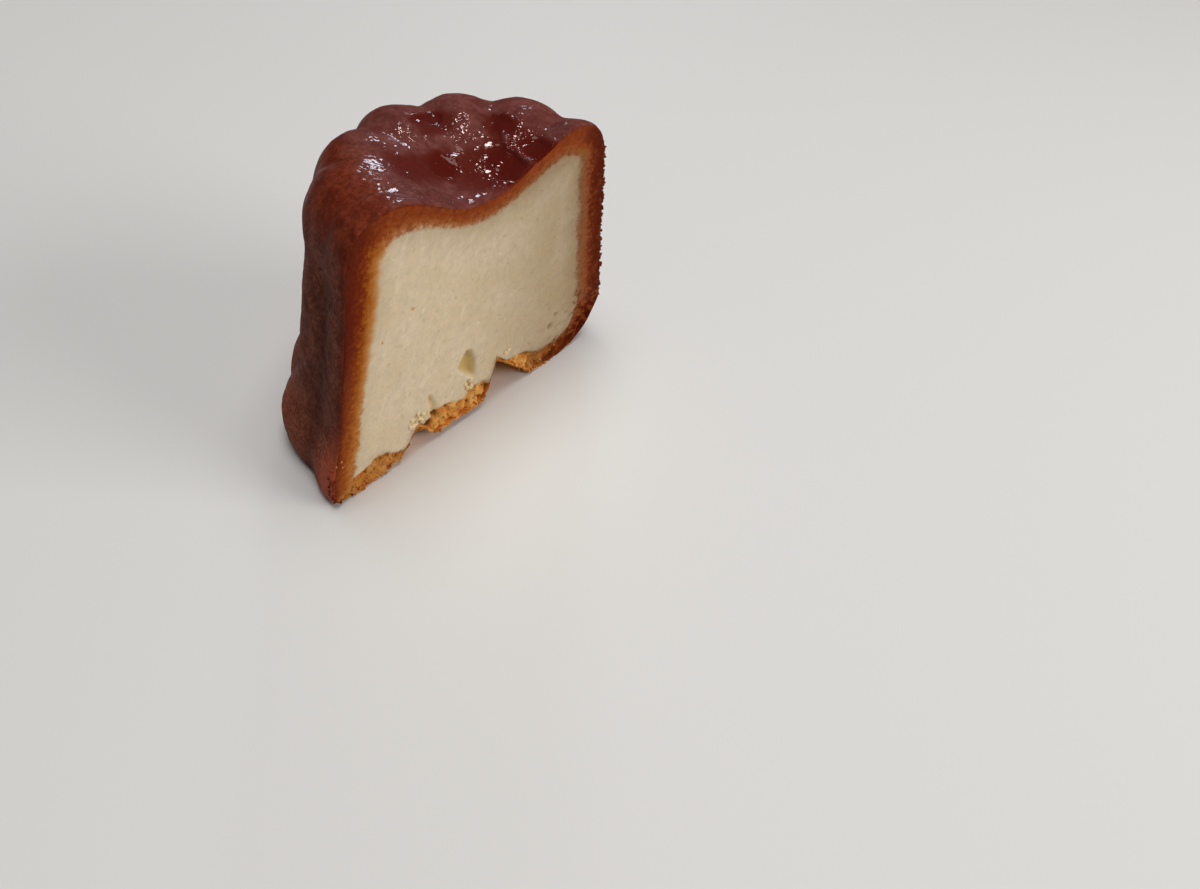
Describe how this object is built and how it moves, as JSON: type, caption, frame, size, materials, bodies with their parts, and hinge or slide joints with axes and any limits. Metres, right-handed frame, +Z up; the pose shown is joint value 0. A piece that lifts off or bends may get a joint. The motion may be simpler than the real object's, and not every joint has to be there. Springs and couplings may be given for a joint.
{
  "type": "fluted butter mochi cake half",
  "caption": "Half of a small fluted cake, cut upright through its middle: sunken glazed crown, ribbed brown crust, flared foot and a pale dense cut face.",
  "frame": {"origin": "middle of the base of the part's box, on the plane that the cake stands on", "axes": "+Z up from the base to the crown, +X along the cut from its pointed end to its blunt end, -Y out of the cut face"},
  "size_m": [0.055, 0.0294, 0.0445],
  "materials": {
    "crust": "deep red-brown baked crust, sticky and glossy in the sunken crown, dull and finely pitted down the sides",
    "crumb": "pale cream, dense and slightly moist cut crumb with fine pores"
  },
  "bodies": {
    "root": {"butter_mochi_half": "crust"}
  },
  "joints": []
}
